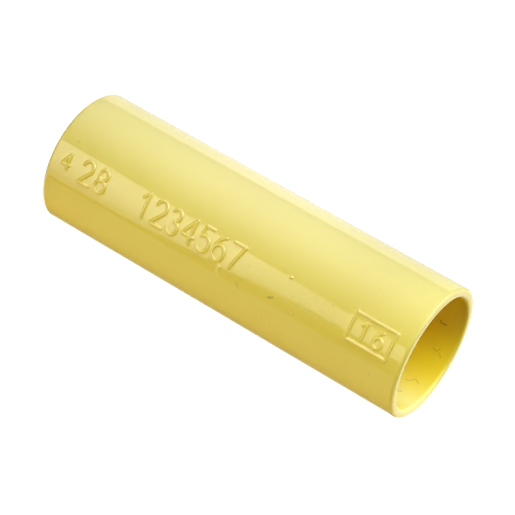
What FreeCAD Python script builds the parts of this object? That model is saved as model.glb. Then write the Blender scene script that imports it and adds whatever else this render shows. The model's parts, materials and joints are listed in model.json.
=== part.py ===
# Conduit coupling: a one-piece PVC sleeve that joins two lengths of 16 mm conduit end to end.
# Millimetres, +Z up along the sleeve's axis. The origin is the centre of the lower end face.
# The sleeve stands on one end, and its two sockets are alike, mirrored about the middle.
import FreeCAD, Part
import math
import os

# The conduit, and how freely it slides in
conduit_diameter = 16.0    # outside diameter of the conduit that each socket takes
slip_gap = 0.05            # gap all round between conduit and socket

# The sleeve's wall and sockets
wall = 1.45                # wall thickness beside the conduit
socket_depth = 28.0        # how far each conduit goes in, from end face to stop

# The stop: a ring inside the middle that both conduits butt against
stop_width = 1.5           # along the axis, at its root
stop_height = 0.9          # how far it stands in from the socket wall
stop_draft = 12.0          # slope of its sides, in degrees, for drawing the two cores
stop_bevel = 0.25          # bevel at both edges of its crest, so that a pulled wire isn't scraped

# The mouths
entry_length = 4.0         # flared lead-in, from the end face inwards
entry_flare = 0.06         # how much wider the mouth is than the socket, on the radius
lip_radius = 0.5           # rounding between lead-in and end face
rim_radius = 0.5           # rounding between end face and outside

socket_radius = conduit_diameter / 2 + slip_gap
mouth_radius = socket_radius + entry_flare
outer_radius = socket_radius + wall
stop_radius = socket_radius - stop_height
stop_slope = (stop_height - stop_bevel) * math.tan(math.radians(stop_draft))
length = 2 * socket_depth + stop_width


def half_section():
    """Corners of the section's lower half, outside first: radius, height, corner rounding."""
    return [
        (outer_radius, 0.0, rim_radius),
        (mouth_radius, 0.0, lip_radius),
        (socket_radius, entry_length, 0.0),
        (socket_radius, socket_depth, 0.0),
        (stop_radius + stop_bevel, socket_depth + stop_slope, 0.0),
        (stop_radius, socket_depth + stop_slope + stop_bevel, 0.0),
    ]


def whole_section():
    """The lower half's corners, then the same ones mirrored to the upper end, as one closed loop."""
    lower = half_section()
    upper = [(radius, length - height, rounding) for radius, height, rounding in reversed(lower)]
    return lower + upper


def rounded_corner(before, corner, after, radius):
    """Start, middle and end of the arc that rounds a corner between two straight runs."""
    back = (before - corner).normalize()
    ahead = (after - corner).normalize()
    half_angle = back.getAngle(ahead) / 2
    bisector = (back + ahead).normalize()
    reach = radius / math.tan(half_angle)
    centre = corner + bisector * (radius / math.sin(half_angle))
    return corner + back * reach, centre - bisector * radius, corner + ahead * reach


def section_face(corners):
    """A flat face in the XZ plane, bounded by straight runs and by the rounded corners' arcs."""
    points = [FreeCAD.Vector(radius, 0, height) for radius, height, rounding in corners]
    stretches = []
    for index, (radius, height, rounding) in enumerate(corners):
        here = points[index]
        if rounding:
            after = points[(index + 1) % len(points)]
            stretches.append(rounded_corner(points[index - 1], here, after, rounding))
        else:
            stretches.append((here,))
    edges = []
    for index, stretch in enumerate(stretches):
        if len(stretch) == 3:
            edges.append(Part.Arc(*stretch).toShape())
        following = stretches[(index + 1) % len(stretches)]
        edges.append(Part.LineSegment(stretch[-1], following[0]).toShape())
    return Part.Face(Part.Wire(edges))


def coupling_sleeve():
    """The section turned once round the axis: two sockets with the stop between them."""
    return section_face(whole_section()).revolve(FreeCAD.Vector(0, 0, 0), FreeCAD.Vector(0, 0, 1), 360)


os.makedirs("parts", exist_ok=True)
sleeve = coupling_sleeve()
sleeve.exportStep("parts/coupling_sleeve.step")

print("outside diameter", 2 * outer_radius, "length", length, "socket diameter", 2 * socket_radius)
print("valid", sleeve.isValid(), "solids", len(sleeve.Solids), "volume", round(sleeve.Volume, 2))
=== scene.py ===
# The looks of a conduit coupling: one moulded sleeve of pale yellow PVC, shown in a plain studio.
# Metres, in the CAD model's frame. The sleeve stands on one end and its raised marks face -Y.
# A turn is an angle round the sleeve: 0 faces -Y, where the marks are, and 90 faces +X.
import bpy
import json
import math
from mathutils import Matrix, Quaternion, Vector


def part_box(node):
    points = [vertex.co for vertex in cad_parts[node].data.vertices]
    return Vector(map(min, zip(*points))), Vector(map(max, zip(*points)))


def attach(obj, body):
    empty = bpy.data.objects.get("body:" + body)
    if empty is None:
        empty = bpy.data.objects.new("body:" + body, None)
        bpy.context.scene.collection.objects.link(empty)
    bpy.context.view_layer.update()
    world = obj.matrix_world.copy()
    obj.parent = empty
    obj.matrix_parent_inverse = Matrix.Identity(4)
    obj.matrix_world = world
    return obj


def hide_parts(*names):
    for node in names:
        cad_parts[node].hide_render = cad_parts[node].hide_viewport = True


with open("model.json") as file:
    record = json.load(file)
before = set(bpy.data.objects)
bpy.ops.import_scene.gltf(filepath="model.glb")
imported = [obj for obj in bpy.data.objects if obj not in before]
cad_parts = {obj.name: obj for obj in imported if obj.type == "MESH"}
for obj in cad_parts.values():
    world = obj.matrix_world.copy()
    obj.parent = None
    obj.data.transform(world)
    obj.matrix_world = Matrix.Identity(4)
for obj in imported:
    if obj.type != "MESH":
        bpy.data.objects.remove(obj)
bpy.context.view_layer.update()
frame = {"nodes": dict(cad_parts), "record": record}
mm = 0.001
print("frame loaded:", ", ".join(frame["nodes"]))


class Socket:
    # One output of a node. Sums on it are written as sums, and each adds its own Math node.
    def __init__(self, graph, output):
        self.graph = graph
        self.output = output

    def __add__(self, other):
        return self.graph.math("ADD", self, other)

    def __radd__(self, other):
        return self.graph.math("ADD", other, self)

    def __sub__(self, other):
        return self.graph.math("SUBTRACT", self, other)

    def __rsub__(self, other):
        return self.graph.math("SUBTRACT", other, self)

    def __mul__(self, other):
        return self.graph.math("MULTIPLY", self, other)

    def __rmul__(self, other):
        return self.graph.math("MULTIPLY", other, self)

    def __truediv__(self, other):
        return self.graph.math("DIVIDE", self, other)

    def __rtruediv__(self, other):
        return self.graph.math("DIVIDE", other, self)

    def __gt__(self, other):
        return self.graph.math("GREATER_THAN", self, other)

    def __neg__(self):
        return self.graph.math("MULTIPLY", self, -1)

    def __abs__(self):
        return self.graph.math("ABSOLUTE", self)

    def beside(self, name):
        # another output of the same node
        outputs = self.output.node.outputs
        return Socket(self.graph, next(item for item in outputs if item.identifier == name))


class Graph:
    # A node tree that is filled by expressions. Inputs and outputs go by their identifiers.
    def __init__(self, tree):
        self.tree = tree

    def add(self, kind, values=None, output=None, **settings):
        # a node with these input values, and one of its outputs: the first if none is named
        node = self.tree.nodes.new(kind)
        # eight to a column, so that the tree can be read
        column, row = divmod(len(self.tree.nodes), 8)
        node.location = (220 * column, -240 * row)
        for name, setting in settings.items():
            setattr(node, name, setting)
        for name, value in (values or {}).items():
            self.feed(next(item for item in node.inputs if item.identifier == name), value)
        if not node.outputs:
            return node
        first = Socket(self, node.outputs[0])
        return first.beside(output) if output else first

    def feed(self, socket, value):
        if isinstance(value, Socket):
            self.tree.links.new(value.output, socket)
        else:
            socket.default_value = value

    def math(self, operation, *parts):
        names = ("Value", "Value_001", "Value_002")
        return self.add("ShaderNodeMath", dict(zip(names, parts)), operation=operation)

    def vector(self, operation, *parts, scale=None, output=None):
        values = dict(zip(("Vector", "Vector_001"), parts))
        if scale is not None:
            values["Scale"] = scale
        return self.add("ShaderNodeVectorMath", values, output, operation=operation)

    def smooth(self, value, low, high, start=0.0, end=1.0, pace="SMOOTHSTEP"):
        # goes softly from start to end while value goes from low to high, and stays there
        limits = {"Value": value, "From Min": low, "From Max": high, "To Min": start, "To Max": end}
        return self.add("ShaderNodeMapRange", limits, interpolation_type=pace)

    def straight(self, *limits):
        # the same at an even pace
        return self.smooth(*limits, pace="LINEAR")

    def hump(self, value, middle, width):
        # 1 at the middle, falling like a bell to about a third at one width away
        away = (value - middle) / width
        return self.math("EXPONENT", -(away * away))

    def blend(self, share, first, second):
        values = {"Factor_Float": share, "A_Color": first, "B_Color": second}
        return self.add("ShaderNodeMix", values, "Result_Color", data_type="RGBA")

    def noise(self, place, scale, detail=2.0, roughness=0.5):
        # goes softly up and down between 0 and 1
        values = {"Vector": place, "Scale": scale, "Detail": detail, "Roughness": roughness}
        return self.add("ShaderNodeTexNoise", values)

    def unrolled(self, place):
        # a place's height, distance from the sleeve's axis, and turn in radians
        x = self.add("ShaderNodeSeparateXYZ", {"Vector": place})
        y = x.beside("Y")
        radius = self.math("SQRT", x * x + y * y)
        turn = self.math("ARCTAN2", x, -y)
        return x.beside("Z"), radius, turn


def addObject(name, data):
    made = bpy.data.objects.new(name, data)
    bpy.context.scene.collection.objects.link(made)
    return made


def emptied(owner):
    # the node tree of a material or of the world, with nothing in it yet
    owner.use_nodes = True
    owner.node_tree.nodes.clear()
    return Graph(owner.node_tree)


def geometryGraph(name, inputs):
    # a Geometry Nodes tree with these named inputs, the inputs as sockets, and what each one gets
    graph = Graph(bpy.data.node_groups.new(name, "GeometryNodeTree"))
    outline = graph.tree.interface
    outline.new_socket(name="Geometry", in_out="OUTPUT", socket_type="NodeSocketGeometry")
    values = {}
    for label, (kind, value) in inputs.items():
        made = outline.new_socket(name=label, in_out="INPUT", socket_type=kind)
        values[made.identifier] = value
    start = graph.tree.nodes.new("NodeGroupInput")
    return graph, {item.name: Socket(graph, item) for item in start.outputs if item.name}, values


def runGraph(name, graph, values, result):
    # runs the tree on an empty object, and keeps what it makes as a plain mesh
    end = graph.tree.nodes.new("NodeGroupOutput")
    graph.tree.links.new(result.output, end.inputs[0])
    piece = addObject(name, bpy.data.meshes.new(name))
    modifier = piece.modifiers.new(name, "NODES")
    modifier.node_group = graph.tree
    for identifier, value in values.items():
        modifier[identifier] = value
    live = bpy.context.evaluated_depsgraph_get()
    made = bpy.data.meshes.new_from_object(piece.evaluated_get(live), depsgraph=live)
    piece.modifiers.remove(modifier)
    piece.data = made
    made.name = name
    return piece


def drawing(name, points, edges, numbers=None):
    # points joined by edges: a drawing that a Geometry Nodes tree reads, and that goes away afterwards
    mesh = bpy.data.meshes.new(name)
    mesh.from_pydata([Vector((*point, 0)) for point in points], edges, [])
    for label, values in (numbers or {}).items():
        mesh.attributes.new(label, "FLOAT", "POINT").data.foreach_set("value", values)
    return addObject(name, mesh)


# The sleeve's section. Length, outside and the places of the sockets come from the CAD model.
sleeve = {
    "rimRounding": 0.5 * mm,     # these five as in the part's source
    "lipRounding": 0.5 * mm,
    "entryFlare": 0.06 * mm,
    "stopBevel": 0.25 * mm,
    "stopDraft": 12.0,           # degrees
    "roundingPoints": 8,         # in each rounded corner
    "rimRoom": 0.65 * mm,        # from each end to the first mesh line of the straight outside
    "markStep": 0.062 * mm,      # spacing of the mesh lines where the marks stand
    "wallStep": 0.5 * mm,        # and on the rest of the outside
    "boreStep": 1.5 * mm,
    "markTurns": 26.0,           # degrees round the marks that have close mesh lines
    "closeLines": 72,            # how many of the lines along the sleeve are there
    "otherLines": 76,
    "wallTolerance": 0.01 * mm,  # how near a point of the outside is to the outer radius
    "waveHeight": 0.007 * mm,    # how far the moulded wall strays from true
    "waveLength": 7.0 * mm,
    "waveStretch": 0.45,         # how close they follow each other along it, against round it
    "waveStart": 0.7 * mm,       # how far from each end they begin
    "waveFull": 3.0 * mm,        # and have their full height
    "sinkDepth": 0.014 * mm,     # the outside sinks a little over the thick stop
    "sinkWidth": 1.3 * mm,
    "creaseAngle": 30.0,         # degrees, from which an edge is sharp
}
low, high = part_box("coupling_sleeve")
length = high.z - low.z
outerRadius = high.x
socket = next(mount for mount in frame["record"]["mounts"] if mount["name"] == "lower_socket")
socketRadius = socket["dims"]["r_mm"] * mm
socketHalf = socket["dims"]["length_mm"] * mm / 2
entryLength = socket["pos_m"][2] - socketHalf
stopFoot = socket["pos_m"][2] + socketHalf
cadPoints = [vertex.co for vertex in frame["nodes"]["coupling_sleeve"].data.vertices]
stopRadius = min(math.hypot(point.x, point.y) for point in cadPoints)


# What stands on the outside: plain raised numbers, a frame, and two small nibs.
# Start and end are heights on the sleeve. Foot and rise go round it, from the middle of the marks.
# They and the nibs' measures are in mm.
marks = {
    "relief": 0.24 * mm,
    "stroke": 0.34 * mm,
    "softness": 0.13 * mm,
    "numbers": [
        {"text": "4", "start": 2.2, "end": 3.5, "foot": -1.05, "rise": 2.1},
        {"text": "28", "start": 5.3, "end": 9.6, "foot": -1.65, "rise": 3.2},
        {"text": "1234567", "start": 15.0, "end": 31.7, "foot": -1.6, "rise": 3.4},
        {"text": "16", "start": 50.35, "end": 53.9, "foot": -1.15, "rise": 2.3},
    ],
    "frame": {"start": 49.1, "end": 55.15, "foot": -1.88, "rise": 3.75},
    "digitWidth": 0.54,          # of its height
    "arcStep": 12.0,             # degrees from point to point of a curved stroke
    "nibs": [(38.9, -8.6), (29.1, 13.0)],    # each one's height and turn
    "nibLength": 0.15,
}


def arc(x, y, width, height, start, end):
    # points on a stretch of an ellipse, from one angle to another in degrees
    steps = max(4, round(abs(end - start) / marks["arcStep"]))
    angles = [math.radians(start + (end - start) * step / steps) for step in range(steps + 1)]
    return [(x + width * math.cos(angle), y + height * math.sin(angle)) for angle in angles]


# the strokes of each digit, drawn this wide and 1 high
drawnWidth = 0.6
digitStrokes = {
    "1": [[(0.12, 0.78), (0.36, 1.0), (0.36, 0.0)]],
    "2": [arc(0.3, 0.71, 0.27, 0.29, 165, -32) + [(0.02, 0.0), (0.6, 0.0)]],
    "3": [arc(0.28, 0.76, 0.23, 0.24, 150, -90) + arc(0.28, 0.26, 0.28, 0.26, 90, -150)],
    "4": [[(0.46, 0.0), (0.46, 1.0), (0.0, 0.3), (0.6, 0.3)]],
    "5": [[(0.54, 1.0), (0.14, 1.0)] + arc(0.29, 0.32, 0.3, 0.32, 128, -145)],
    "6": [arc(0.3, 0.31, 0.28, 0.31, 0, 360), arc(0.62, 0.35, 0.6, 0.65, 184, 112)],
    "7": [[(0.0, 1.0), (0.6, 1.0), (0.22, 0.0)]],
    "8": [arc(0.3, 0.76, 0.22, 0.24, 0, 360), arc(0.3, 0.26, 0.28, 0.26, 0, 360)],
}


def numberStrokes(text, start, end, foot, rise):
    # the digits spread evenly from start to end, as lists of points in metres
    wide = rise * marks["digitWidth"]
    pitch = (end - start - wide) / max(1, len(text) - 1)
    scale = wide / drawnWidth
    strokes = []
    for index, digit in enumerate(text):
        left = start + pitch * index
        for stroke in digitStrokes[digit]:
            strokes.append([((left + x * scale) * mm, (foot + y * rise) * mm) for x, y in stroke])
    return strokes


def frameStroke(start, end, foot, rise):
    corners = [(start, foot), (end, foot), (end, foot + rise), (start, foot + rise), (start, foot)]
    return [(along * mm, up * mm) for along, up in corners]


def drawMarks():
    # every mark as lines on a flat drawing: X is height on the sleeve, Y goes round it towards -X
    strokes = [frameStroke(**marks["frame"])]
    for number in marks["numbers"]:
        strokes += numberStrokes(**number)
    for height, turn in marks["nibs"]:
        across = -math.radians(turn) * outerRadius
        strokes.append([(height * mm, across), ((height + marks["nibLength"]) * mm, across)])
    points = []
    edges = []
    for stroke in strokes:
        first = len(points)
        points += stroke
        edges += [(index, index + 1) for index in range(first, len(points) - 1)]
    return drawing("markDrawing", points, edges)


def between(start, end, step):
    # evenly spaced numbers after start and before end
    count = max(1, round(abs(end - start) / step))
    return [start + (end - start) * index / count for index in range(1, count)]


def markBands():
    # the stretches of height that hold marks
    room = marks["stroke"]
    places = [(place["start"], place["end"]) for place in marks["numbers"] + [marks["frame"]]]
    places += [(height, height + marks["nibLength"]) for height, turn in marks["nibs"]]
    bands = sorted((start * mm - room, end * mm + room) for start, end in places)
    joined = [bands[0]]
    for start, end in bands[1:]:
        if start < joined[-1][1] + sleeve["wallStep"]:
            joined[-1] = (joined[-1][0], max(end, joined[-1][1]))
        else:
            joined.append((start, end))
    return joined


def outsideHeights():
    # heights of the mesh lines round the outside, from the lower rim to the upper one
    ends = sleeve["rimRoom"]
    heights = [ends]
    for start, end in markBands():
        heights += between(heights[-1], start, sleeve["wallStep"])
        heights += [start] + between(start, end, sleeve["markStep"]) + [end]
    return heights + between(heights[-1], length - ends, sleeve["wallStep"]) + [length - ends]


def drawSection():
    # the closed section as radius, height and corner rounding: up the bore, then down the outside
    drafted = socketRadius - stopRadius - sleeve["stopBevel"]
    slope = drafted * math.tan(math.radians(sleeve["stopDraft"]))
    bore = [
        (socketRadius + sleeve["entryFlare"], 0, sleeve["lipRounding"]),
        (socketRadius, entryLength, 0),
    ]
    bore += [(socketRadius, height, 0) for height in between(entryLength, stopFoot, sleeve["boreStep"])]
    bore += [
        (socketRadius, stopFoot, 0),
        (stopRadius + sleeve["stopBevel"], stopFoot + slope, 0),
        (stopRadius, stopFoot + slope + sleeve["stopBevel"], 0),
    ]
    bore += [(radius, length - height, rounding) for radius, height, rounding in reversed(bore)]
    rim = sleeve["rimRounding"]
    outside = [(outerRadius, height, 0) for height in reversed(outsideHeights())]
    section = [(outerRadius, 0, rim)] + bore + [(outerRadius, length, rim)] + outside
    # the sweep lays X outwards from the outside's own circle and Y downwards
    points = [(radius - outerRadius, -height) for radius, height, rounding in section]
    edges = [(index, (index + 1) % len(points)) for index in range(len(points))]
    roundings = [rounding for radius, height, rounding in section]
    return drawing("sleeveSection", points, edges, {"rounding": roundings})


def buildSleeve(material):
    section = drawSection()
    markDrawing = drawMarks()
    number, whole, thing = "NodeSocketFloat", "NodeSocketInt", "NodeSocketObject"
    graph, given, values = geometryGraph("turnedSleeve", {
        "Section": (thing, section),
        "Marks": (thing, markDrawing),
        "Outer radius": (number, outerRadius),
        "Length": (number, length),
        "Lines": (whole, sleeve["closeLines"] + sleeve["otherLines"]),
        "Close lines": (whole, sleeve["closeLines"]),
        "Close turns": (number, math.radians(sleeve["markTurns"])),
        "Rounding points": (whole, sleeve["roundingPoints"]),
        "Wall tolerance": (number, sleeve["wallTolerance"]),
        "Relief": (number, marks["relief"]),
        "Stroke": (number, marks["stroke"]),
        "Softness": (number, marks["softness"]),
        "Wave height": (number, sleeve["waveHeight"]),
        "Wave length": (number, sleeve["waveLength"]),
        "Wave stretch": (number, sleeve["waveStretch"]),
        "Wave start": (number, sleeve["waveStart"]),
        "Wave full": (number, sleeve["waveFull"]),
        "Sink depth": (number, sleeve["sinkDepth"]),
        "Sink width": (number, sleeve["sinkWidth"]),
        "Crease angle": (number, math.radians(sleeve["creaseAngle"])),
        "Material": ("NodeSocketMaterial", material),
    })
    # a circle whose points stand close together at the marks, which are at its -Y side
    ring = graph.add("GeometryNodeCurvePrimitiveCircle", {"Resolution": given["Lines"]})
    share = graph.add("GeometryNodeInputIndex") / given["Lines"]
    closeShare = given["Close lines"] / given["Lines"]
    near = graph.straight(share, 0.0, closeShare, 0.0, given["Close turns"])
    far = graph.straight(share, closeShare, 1.0, 0.0, math.tau - given["Close turns"])
    angle = near + far - given["Close turns"] / 2 - math.pi / 2
    around = graph.add("ShaderNodeCombineXYZ", {
        "X": graph.math("COSINE", angle),
        "Y": graph.math("SINE", angle),
    })
    circle = graph.vector("SCALE", around, scale=given["Outer radius"])
    ring = graph.add("GeometryNodeSetPosition", {"Geometry": ring, "Position": circle})
    ring = graph.add("GeometryNodeSetCurveNormal", {"Curve": ring}, mode="Z_UP")

    # the section, with its corners rounded, swept round the circle
    corners = graph.add("GeometryNodeObjectInfo", {"Object": given["Section"]}, "Geometry")
    corners = graph.add("GeometryNodeMeshToCurve", {"Mesh": corners})
    rounding = graph.add("GeometryNodeInputNamedAttribute", {"Name": "rounding"}, data_type="FLOAT")
    profile = graph.add("GeometryNodeFilletCurve", {
        "Curve": corners,
        "Count": given["Rounding points"],
        "Radius": rounding,
    }, mode="POLY")
    body = graph.add("GeometryNodeCurveToMesh", {"Curve": ring, "Profile Curve": profile})

    # how far each point of the wall moves out or in: by the marks and the sink on the outside,
    # and by the waves all over
    place = graph.add("GeometryNodeInputPosition")
    height, radius, turn = graph.unrolled(place)
    isOutside = radius > given["Outer radius"] - given["Wall tolerance"]
    flat = graph.add("ShaderNodeCombineXYZ", {"X": height, "Y": -(turn * given["Outer radius"])})
    strokes = graph.add("GeometryNodeObjectInfo", {"Object": given["Marks"]}, "Geometry")
    distance = graph.add("GeometryNodeProximity", {
        "Target": strokes,
        "Source Position": flat,
    }, "Distance", target_element="EDGES")
    edge = given["Stroke"] / 2
    ridge = graph.smooth(distance, edge - given["Softness"], edge + given["Softness"], 1.0, 0.0)
    sink = graph.hump(height, given["Length"] / 2, given["Sink width"])
    stretch = graph.add("ShaderNodeCombineXYZ", {"X": 1.0, "Y": 1.0, "Z": given["Wave stretch"]})
    stretched = graph.vector("MULTIPLY", place, stretch)
    wave = (graph.noise(stretched, 1 / given["Wave length"], detail=1.0) - 0.5) * 2
    fromEnd = given["Length"] / 2 - abs(height - given["Length"] / 2)
    moved = wave * given["Wave height"] * graph.smooth(fromEnd, given["Wave start"], given["Wave full"])
    moved = moved + isOutside * (ridge * given["Relief"] - sink * given["Sink depth"])
    outwards = graph.vector("NORMALIZE", graph.vector("MULTIPLY", place, (1.0, 1.0, 0.0)))
    offset = graph.vector("SCALE", outwards, scale=moved)
    body = graph.add("GeometryNodeSetPosition", {"Geometry": body, "Offset": offset})

    # smooth all over, with true creases at the edges of the stop
    crease = graph.add("GeometryNodeInputMeshEdgeAngle") > given["Crease angle"]
    body = graph.add("GeometryNodeSetShadeSmooth", {"Geometry": body, "Shade Smooth": True})
    body = graph.add("GeometryNodeSetShadeSmooth", {
        "Geometry": body,
        "Selection": crease,
        "Shade Smooth": False,
    }, domain="EDGE")
    body = graph.add("GeometryNodeRealizeInstances", {"Geometry": body})
    body = graph.add("GeometryNodeSetMaterial", {"Geometry": body, "Material": given["Material"]})
    piece = runGraph("sleeve", graph, values, body)
    for drawn in (section, markDrawing):
        bpy.data.objects.remove(drawn)
    return piece


# The plastic: glossy, pale yellow, with the dust and flecks that the photograph shows.
# Bare lengths are in mm and turns in degrees. Limits are values between which a change goes.
plastic = {
    "colour": (0.90, 0.71, 0.09, 1),
    "deeperColour": (0.88, 0.68, 0.078, 1),  # in soft patches
    "patchLength": 14.0,
    "patchLimits": (0.3, 0.7),               # of the noise that makes them
    # the bore's deeper, more saturated yellow is painted shade, as the bore looks where light doesn't
    # fall
    "boreColour": (0.9, 0.65, 0.022, 1),
    "boreLimits": (0.25, 0.08),              # where it begins and is full, out from the socket's wall
    "paleColour": (0.93, 0.79, 0.22, 1),     # painted light, on the bore's side where the beam falls
    "paleTurn": 106.0,
    "paleSpread": 26.0,
    "roughness": 0.09,
    "roughnessSpread": 0.04,
    "roughnessScale": 0.35,                  # how close its changes follow each other
    "boreRoughness": 0.38,                   # the core that shapes the bore is less polished
    "refraction": 1.7,                       # a little above plain PVC, for clear soft reflections
    "peelLength": 0.9,                       # the faint orange peel of the gloss
    "peelHeight": 0.0006 * mm,
    "pitLength": 0.28,                       # fine pits in one patch of the outside
    "pitHeight": 0.009 * mm,
    # the pits' painted shade, as a share of the dirt colour
    "pitShade": 0.15,
    "pitLimits": (0.55, 0.72),               # of the noise that makes them
    "rippleLength": 1.0,                     # and the uneven skin round them
    "rippleHeight": 0.018 * mm,
    "pitStart": 37.0,                        # the patch's lower and upper end
    "pitEnd": 49.0,
    "pitFade": 4.0,
    "pitTurn": 6.0,
    "pitSpread": 12.0,
    # the colour of the dirt, which also paints shade into the pits
    "dirtColour": (0.17, 0.09, 0.012, 1),
    "dirtRoughness": 0.3,                    # what the darkest dirt adds
    "fleckCore": 0.4,                        # the evenly dark part of a fleck's radius
    "flecks": [
        # height, turn, radius, how dark
        (45.77, -6.0, 0.10, 0.6),
        (43.17, -4.8, 0.09, 0.3),
        (41.73, -3.4, 0.10, 0.3),
        (39.18, -2.3, 0.10, 0.25),
        (41.35, 16.8, 0.11, 0.8),
        (37.2, 14.6, 0.27, 0.4),
        (37.5, 13.8, 0.28, 0.4),
        (37.75, 12.9, 0.25, 0.35),
        (33.06, 0.1, 0.12, 0.3),
        (34.74, 4.6, 0.10, 0.3),
        (32.6, 20.5, 0.12, 0.3),
        (2.9, -18.0, 0.30, 0.12),
        (49.9, -33.4, 0.14, 0.15),
        (53.6, 29.2, 0.15, 0.25),
        (48.6, 33.0, 0.16, 0.12),
    ],
    "fibreCore": 0.5,                        # its evenly dark part, of its width, on either side
    "fibreEdge": 1.2,                        # and where it ends
    "fibres": [
        # width, how dark, then points as height and turn
        (0.05, 0.35, [(37.0, 33.8), (37.05, 35.4)]),
        (0.05, 0.35, [(38.2, 34.2), (38.3, 35.8)]),
        (0.06, 0.3, [(32.0, 16.0), (32.5, 17.8), (32.3, 19.5), (32.9, 21.5)]),
    ],
    "boreFibres": [
        (0.07, 0.95, [(53.9, -158.6), (54.15, -160.3), (54.5, -160.6), (54.9, -160.0)]),
        (0.045, 0.5, [(54.5, 174.0), (55.15, 172.2), (55.45, 176.4)]),
        (0.045, 0.5, [(55.5, 172.2), (55.85, 170.8), (56.1, 168.4)]),
        (0.05, 0.5, [(53.85, 132.9), (54.45, 134.8), (54.85, 139.0), (55.6, 136.4)]),
        (0.06, 0.7, [(54.3, 115.8), (54.65, 117.8)]),
    ],
}


def flatPoint(radius, height, turn):
    # a place on a wall of this radius, in mm, on the wall's flat drawing
    return (height, math.radians(turn) * radius, 0.0)


def fleckMask(graph, flat, radius, flecks):
    # round flecks, each darker in its middle
    mask = 0.0
    for height, turn, size, dark in flecks:
        away = graph.vector("DISTANCE", flat, flatPoint(radius, height, turn), output="Value")
        fleck = graph.smooth(away, plastic["fleckCore"] * size, size, dark, 0.0)
        mask = graph.math("MAXIMUM", fleck, mask)
    return mask


def fibreMask(graph, flat, radius, fibres):
    # thin bent hairs, each a chain of short straight stretches
    mask = 0.0
    for width, dark, places in fibres:
        points = [Vector(flatPoint(radius, *place)) for place in places]
        core = plastic["fibreCore"] * width
        edge = plastic["fibreEdge"] * width
        for start, end in zip(points, points[1:]):
            run = end - start
            fromStart = graph.vector("SUBTRACT", flat, start)
            reach = graph.vector("DOT_PRODUCT", fromStart, run / run.length_squared, output="Value")
            nearest = graph.vector("SCALE", run, scale=graph.straight(reach, 0.0, 1.0))
            away = graph.vector("DISTANCE", fromStart, nearest, output="Value")
            mask = graph.math("MAXIMUM", graph.smooth(away, core, edge, dark, 0.0), mask)
    return mask


def mouldedPvc():
    # one plastic all over, in which the bore and the dirt have a colour and a polish of their own; the
    # bore's colour is painted shade with painted light on one side, and the pits are painted with shade
    # in the dirt's colour
    material = bpy.data.materials.new("mouldedPvc")
    graph = emptied(material)
    place = graph.vector("SCALE", graph.add("ShaderNodeTexCoord", output="Object"), scale=1 / mm)
    height, radius, turn = graph.unrolled(place)
    degrees = turn * math.degrees(1)
    outside = outerRadius / mm
    bore = socketRadius / mm
    isOutside = radius > (outside + bore) / 2

    outsideFlat = graph.add("ShaderNodeCombineXYZ", {"X": height, "Y": turn * outside})
    boreFlat = graph.add("ShaderNodeCombineXYZ", {"X": height, "Y": turn * bore})
    flecks = fleckMask(graph, outsideFlat, outside, plastic["flecks"])
    fibres = fibreMask(graph, outsideFlat, outside, plastic["fibres"])
    outsideDirt = graph.math("MAXIMUM", flecks, fibres) * isOutside
    boreDirt = fibreMask(graph, boreFlat, bore, plastic["boreFibres"]) * (1 - isOutside)

    # the patch of pits and ripples
    start, end, fade = plastic["pitStart"], plastic["pitEnd"], plastic["pitFade"]
    patch = graph.smooth(height, start, start + fade) * graph.smooth(height, end, end - fade)
    patch = patch * graph.hump(degrees, plastic["pitTurn"], plastic["pitSpread"]) * isOutside
    pits = graph.noise(place, 1 / plastic["pitLength"])
    pits = graph.smooth(pits, *plastic["pitLimits"]) * patch
    ripples = graph.noise(place, 1 / plastic["rippleLength"], detail=1.0) * patch
    # the dirt and the painted shade in the pits darken the colour alike
    dirtAndPitShade = graph.math("MAXIMUM", outsideDirt + boreDirt, pits * plastic["pitShade"])

    patches = graph.noise(place, 1 / plastic["patchLength"], detail=3.0)
    patches = graph.smooth(patches, *plastic["patchLimits"])
    colour = graph.blend(patches, plastic["colour"], plastic["deeperColour"])
    inBore = graph.smooth(radius, *[bore + limit for limit in plastic["boreLimits"]])
    # painted light: the bore is paler on the side where the beam falls
    paintedLight = graph.hump(degrees, plastic["paleTurn"], plastic["paleSpread"])
    boreColour = graph.blend(paintedLight, plastic["boreColour"], plastic["paleColour"])
    # the bore takes its painted shade and light in place of the outside's colour
    colour = graph.blend(inBore, colour, boreColour)
    colour = graph.blend(dirtAndPitShade, colour, plastic["dirtColour"])

    polish = plastic["roughness"] + inBore * (plastic["boreRoughness"] - plastic["roughness"])
    handled = graph.noise(place, plastic["roughnessScale"], detail=4.0, roughness=0.65) - 0.5
    roughness = polish + handled * plastic["roughnessSpread"] + dirtAndPitShade * plastic["dirtRoughness"]
    peel = graph.noise(place, 1 / plastic["peelLength"], detail=1.5)
    uneven = peel * plastic["peelHeight"] - pits * plastic["pitHeight"]
    uneven = uneven + ripples * plastic["rippleHeight"]
    bump = graph.add("ShaderNodeBump", {"Distance": 1.0, "Height": uneven})
    shader = graph.add("ShaderNodeBsdfPrincipled", {
        "Base Color": colour,
        "Roughness": roughness,
        "IOR": plastic["refraction"],
        "Normal": bump,
    })
    graph.add("ShaderNodeOutputMaterial", {"Surface": shader})
    return material


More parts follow.
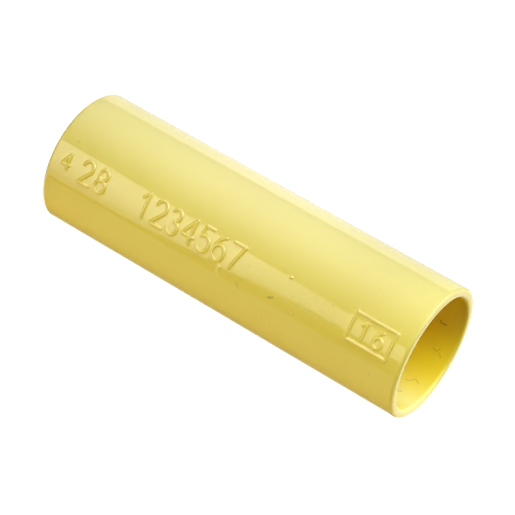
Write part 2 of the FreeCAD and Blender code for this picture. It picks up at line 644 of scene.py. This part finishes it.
# The studio. Radiances are in units in which 1 is white, and azimuths go as the turns do.
# A rise is the sine of an elevation. A spread is how wide the fall-off on each side is, in degrees.
studio = {
    "ambient": 0.05,                 # the even light from all sides
    "mirroredBase": 0.15,            # what the gloss mirrors where nothing else is
    "windowAzimuth": -82.0,          # a broad soft window on the left
    "windowSpread": 60.0,
    "windowRadiance": 3.4,
    "ledgeAzimuth": -125.0,          # a pale ledge, from there round to the back
    "ledgeEdge": (0.0, 3.0),         # degrees past that azimuth between which it begins
    "ledgeFade": (85.0, 25.0),       # and where it is gone, and begins to go
    "ledgeRadiance": 1.1,
    "brightRise": -0.385,            # where window and ledge have their brightest stretch
    "brightHeight": 0.065,           # how high that is, as a rise
    "brightShare": 0.3,              # the part of their light that it alone has
    "tableEdge": (51.5, 53.5),       # azimuths between which a pale table edge begins, on the right
    "tableFade": (67.5, 130.0),      # and fades to the dark behind
    "tableRadiance": 0.38,
    "cardAzimuth": 162.0,            # a pale card behind, on the right
    "cardSpread": 12.0,
    "cardRadiance": 1.6,
    "floorRises": (-0.49, -0.6),     # between which the white floor begins
    "floorRadiance": 1.5,
    "shadeRises": (-0.95, -0.75),    # the sleeve's own shade straight below, and where it ends
    "shadeRadiance": 0.1,
    "skyRises": (-0.12, 0.12),       # what is above the level of the eye begins between these
    "skyRadiance": 0.15,
    "skylightAzimuth": -90.0,        # a lamp high behind the window
    "skylightSpread": 62.0,
    "skylightRise": 0.6,
    "skylightHeight": 0.6,
    "skylightRadiance": 5.5,
    "wallAzimuth": 170.0,            # and a pale wall behind
    "wallSpread": 40.0,
    "wallRises": (-0.05, 0.2),
    "wallRadiance": 0.85,
    "floorSize": 3.0,
    "floorGlow": 0.87,               # what the camera sees of the floor even in shadow
    "floorColour": (0.42, 0.42, 0.42, 1),
    "bounceColour": (0.7, 0.7, 0.68, 1),
}
# What each lamp adds on a white card that faces it, its direction, distance, size and colour.
lamps = {
    "skylightLamp": {
        "light": 0.59, "azimuth": -62.0, "elevation": 23.0, "distance": 0.34, "size": (0.22, 0.2),
        "colour": (0.89, 1.04, 1.1),
    },
    "frontLamp": {
        "light": 0.13, "azimuth": 8.0, "elevation": 0.5, "distance": 0.6, "size": (0.3, 0.04),
        "colour": (1.0, 1.0, 1.0),
    },
    "rightLamp": {
        "light": 0.26, "azimuth": 42.0, "elevation": 2.0, "distance": 0.7, "size": (0.3, 0.06),
        "colour": (1.0, 0.91, 0.76),
    },
    "tableLamp": {
        "light": 0.27, "azimuth": 95.0, "elevation": 2.0, "distance": 0.7, "size": (0.4, 0.06),
        "colour": (1.0, 0.81, 0.62),
    },
    "wallLamp": {
        "light": 0.92, "azimuth": 165.0, "elevation": 40.0, "distance": 0.6, "size": (0.3, 0.3),
        "colour": (1.0, 0.95, 0.85),
    },
}


def fallOff(graph, azimuth, name):
    # 1 at the azimuth of this thing in the studio, falling like a bell on both sides
    gap = graph.math("WRAP", azimuth - studio[name + "Azimuth"], 180.0, -180.0)
    return graph.hump(gap, 0.0, studio[name + "Spread"])


def mirroredLight(graph, direction):
    # radiance that the gloss sees in each direction
    x = graph.add("ShaderNodeSeparateXYZ", {"Vector": direction})
    rise = x.beside("Z")
    azimuth = graph.math("ARCTAN2", x, -x.beside("Y")) * math.degrees(1)

    pastLedge = graph.math("WRAP", studio["ledgeAzimuth"] - azimuth, 360.0, 0.0)
    ledge = graph.smooth(pastLedge, *studio["ledgeEdge"])
    ledge = ledge * graph.smooth(pastLedge, *studio["ledgeFade"])
    window = fallOff(graph, azimuth, "window")
    left = window * studio["windowRadiance"] + ledge * studio["ledgeRadiance"]
    share = studio["brightShare"]
    left = left * (1 - share + share * graph.hump(rise, studio["brightRise"], studio["brightHeight"]))
    table = graph.smooth(azimuth, *studio["tableEdge"])
    table = table * graph.smooth(azimuth, *studio["tableFade"], 1.0, 0.0)
    card = fallOff(graph, azimuth, "card")
    right = table * studio["tableRadiance"] + card * studio["cardRadiance"]
    sides = studio["mirroredBase"] + left + right

    skylight = graph.hump(rise, studio["skylightRise"], studio["skylightHeight"])
    skylight = skylight * fallOff(graph, azimuth, "skylight")
    wall = graph.smooth(rise, *studio["wallRises"]) * fallOff(graph, azimuth, "wall")
    above = studio["skyRadiance"] + skylight * studio["skylightRadiance"]
    above = above + wall * studio["wallRadiance"]
    floor = graph.smooth(rise, *studio["shadeRises"], studio["shadeRadiance"], studio["floorRadiance"])

    up = graph.smooth(rise, *studio["skyRises"])
    down = graph.smooth(rise, *studio["floorRises"])
    below = sides * (1 - down) + floor * down
    return below * (1 - up) + above * up


def lightWorld():
    # the camera sees plain white, the gloss sees the studio, and the rest is lit a little from all sides
    world = bpy.data.worlds.new("studio")
    bpy.context.scene.world = world
    world.cycles.sampling_method = "NONE"
    graph = emptied(world)
    isCamera = graph.add("ShaderNodeLightPath", output="Is Camera Ray")
    isGlossy = isCamera.beside("Is Glossy Ray")
    mirrored = mirroredLight(graph, graph.add("ShaderNodeTexCoord", output="Generated"))
    light = isGlossy * mirrored + (1 - isGlossy) * studio["ambient"]
    strength = isCamera + (1 - isCamera) * light
    background = graph.add("ShaderNodeBackground", {"Color": (1, 1, 1, 1), "Strength": strength})
    graph.add("ShaderNodeOutputWorld", {"Surface": background})


def directionTo(azimuth, elevation):
    # the unit vector from the sleeve towards an azimuth and an elevation
    turn, rise = math.radians(azimuth), math.radians(elevation)
    return Vector((math.sin(turn) * math.cos(rise), -math.cos(turn) * math.cos(rise), math.sin(rise)))


def standBack(thing, place, aim):
    # puts a light or the camera in its direction and at its distance from the aim, facing it
    away = directionTo(place["azimuth"], place["elevation"])
    thing.location = aim + away * place["distance"]
    thing.rotation_mode = "QUATERNION"
    thing.rotation_quaternion = away.to_track_quat("Z", "Y")


def addLight(name, light, values, aim):
    # a light that neither the camera nor the gloss sees
    light.color = values["colour"]
    made = addObject(name, light)
    standBack(made, values, aim)
    made.visible_glossy = False
    made.visible_camera = False


# A narrow beam that falls past the mouth's edge into the bore, aimed at the wall opposite.
beam = {
    "light": 0.6, "azimuth": -66.0, "elevation": 38.0, "distance": 0.3, "size": 0.008,
    "width": 24.0 * mm,              # across the soft-edged patch that it lights
    "depth": 1.5 * mm,               # where it is aimed, below the mouth
    "colour": (0.88, 1.1, 1.5),
}


def lightBeam():
    light = bpy.data.lights.new("mouthBeam", "SPOT")
    light.shadow_soft_size = beam["size"]
    light.spot_size = 2 * math.atan(beam["width"] / 2 / beam["distance"])
    light.spot_blend = 1.0
    # the power with which a spot gives a white card that radiance
    light.energy = beam["light"] * 4 * (math.pi * beam["distance"]) ** 2
    mouth = Vector((0, 0, length - beam["depth"]))
    opposite = mouth + directionTo(beam["azimuth"] + 180, 0) * socketRadius
    addLight("mouthBeam", light, beam, opposite)


def lightLamps(middle):
    for name, lamp in lamps.items():
        light = bpy.data.lights.new(name, "AREA")
        light.shape = "RECTANGLE"
        light.size, light.size_y = lamp["size"]
        # the power with which an area lamp gives a white card that radiance
        light.energy = lamp["light"] * (math.pi * lamp["distance"]) ** 2
        addLight(name, light, lamp, middle)


# The long soft box in front, which the gloss mirrors as a pale band through the marks.
# Its outline is measured on a plane in front of the sleeve: across it, and up from the floor.
# The gloss doesn't see the floor, so the box goes on below it.
softbox = {
    "azimuth": 15.0,
    "distance": 0.5,
    "outline": [
        (-0.385, -0.40), (0.36, -0.40), (0.335, -0.315), (0.30, -0.26), (0.245, -0.222),
        (0.19, -0.192), (0.13, -0.168), (0.08, -0.152), (0.07, -0.133), (0.09, -0.112),
        (0.14, 0.12), (0.0, 0.12), (-0.12, -0.105), (-0.16, -0.146), (-0.197, -0.191), (-0.308, -0.308),
    ],
    "radiance": 2.9,                 # at its left
    "rightRadiance": 0.75,
    "acrossLimits": (-0.1, 0.4),     # between which it goes from one to the other
    "upperShare": 0.66,              # of the radiance, in its upper part
    "upLimits": (-0.195, -0.145),    # between which that begins
}


def addCard(name, corners, material):
    # one flat face
    mesh = bpy.data.meshes.new(name)
    mesh.from_pydata(corners, [], [list(range(len(corners)))])
    mesh.materials.append(material)
    return addObject(name, mesh)


def buildSoftbox():
    turn = math.radians(softbox["azimuth"])
    across = Vector((math.cos(turn), math.sin(turn), 0))
    away = directionTo(softbox["azimuth"], 0) * softbox["distance"]
    corners = [away + across * x + Vector((0, 0, z)) for x, z in softbox["outline"]]
    material = bpy.data.materials.new("softboxCloth")
    material.cycles.emission_sampling = "NONE"
    graph = emptied(material)
    place = graph.add("ShaderNodeTexCoord", output="Object")
    sideways = graph.vector("DOT_PRODUCT", place, across, output="Value")
    up = graph.add("ShaderNodeSeparateXYZ", {"Vector": place}, "Z")
    ends = (softbox["radiance"], softbox["rightRadiance"])
    radiance = graph.smooth(sideways, *softbox["acrossLimits"], *ends)
    radiance = radiance * graph.smooth(up, *softbox["upLimits"], 1.0, softbox["upperShare"])
    glow = graph.add("ShaderNodeEmission", {"Strength": radiance})
    graph.add("ShaderNodeOutputMaterial", {"Surface": glow})
    card = addCard("softbox", corners, material)
    card.visible_camera = False
    card.visible_diffuse = False
    card.visible_transmission = False
    card.visible_shadow = False


def buildFloor():
    # the camera sees a white floor with a faint shade on it, and the sleeve is lit by a pale one
    half = studio["floorSize"] / 2
    corners = [(-half, -half, 0), (half, -half, 0), (half, half, 0), (-half, half, 0)]
    material = bpy.data.materials.new("paleFloor")
    graph = emptied(material)
    isCamera = graph.add("ShaderNodeLightPath", output="Is Camera Ray")
    seen = graph.add("ShaderNodeBsdfDiffuse", {"Color": studio["floorColour"]})
    glow = graph.add("ShaderNodeEmission", {"Strength": studio["floorGlow"]})
    both = graph.add("ShaderNodeAddShader", {"Shader": seen, "Shader_001": glow})
    bounce = graph.add("ShaderNodeBsdfDiffuse", {"Color": studio["bounceColour"]})
    mixed = graph.add("ShaderNodeMixShader", {"Fac": isCamera, "Shader": bounce, "Shader_001": both})
    graph.add("ShaderNodeOutputMaterial", {"Surface": mixed})
    floor = addCard("floor", corners, material)
    floor.visible_glossy = False


# The photograph's camera, turned about its line of sight because the sleeve lies down there.
camera = {
    "azimuth": -11.514,
    "elevation": 22.273,
    "roll": 119.81,
    "distance": 293.42 * mm,
    "aim": (0.427 * mm, -0.087 * mm, 29.68 * mm),
    "lens": 154.37,
    "sensor": 36.0,
    "nearest": 0.01,                 # it sees what is between these distances
    "farthest": 10.0,
}


def placeCamera():
    lens = bpy.data.cameras.new("camera")
    lens.lens = camera["lens"]
    lens.sensor_width = camera["sensor"]
    lens.clip_start = camera["nearest"]
    lens.clip_end = camera["farthest"]
    made = addObject("camera", lens)
    standBack(made, camera, Vector(camera["aim"]))
    roll = Quaternion((0, 0, 1), math.radians(camera["roll"]))
    made.rotation_quaternion = made.rotation_quaternion @ roll
    bpy.context.scene.camera = made


piece = buildSleeve(mouldedPvc())
print("sleeve built:", len(piece.data.polygons), "faces")
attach(piece, "root")
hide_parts("coupling_sleeve")

lightWorld()
lightLamps(Vector((0, 0, length / 2)))
lightBeam()
buildSoftbox()
buildFloor()
print("studio lit")

placeCamera()
bpy.context.scene.view_settings.view_transform = "Standard"
print("camera placed")
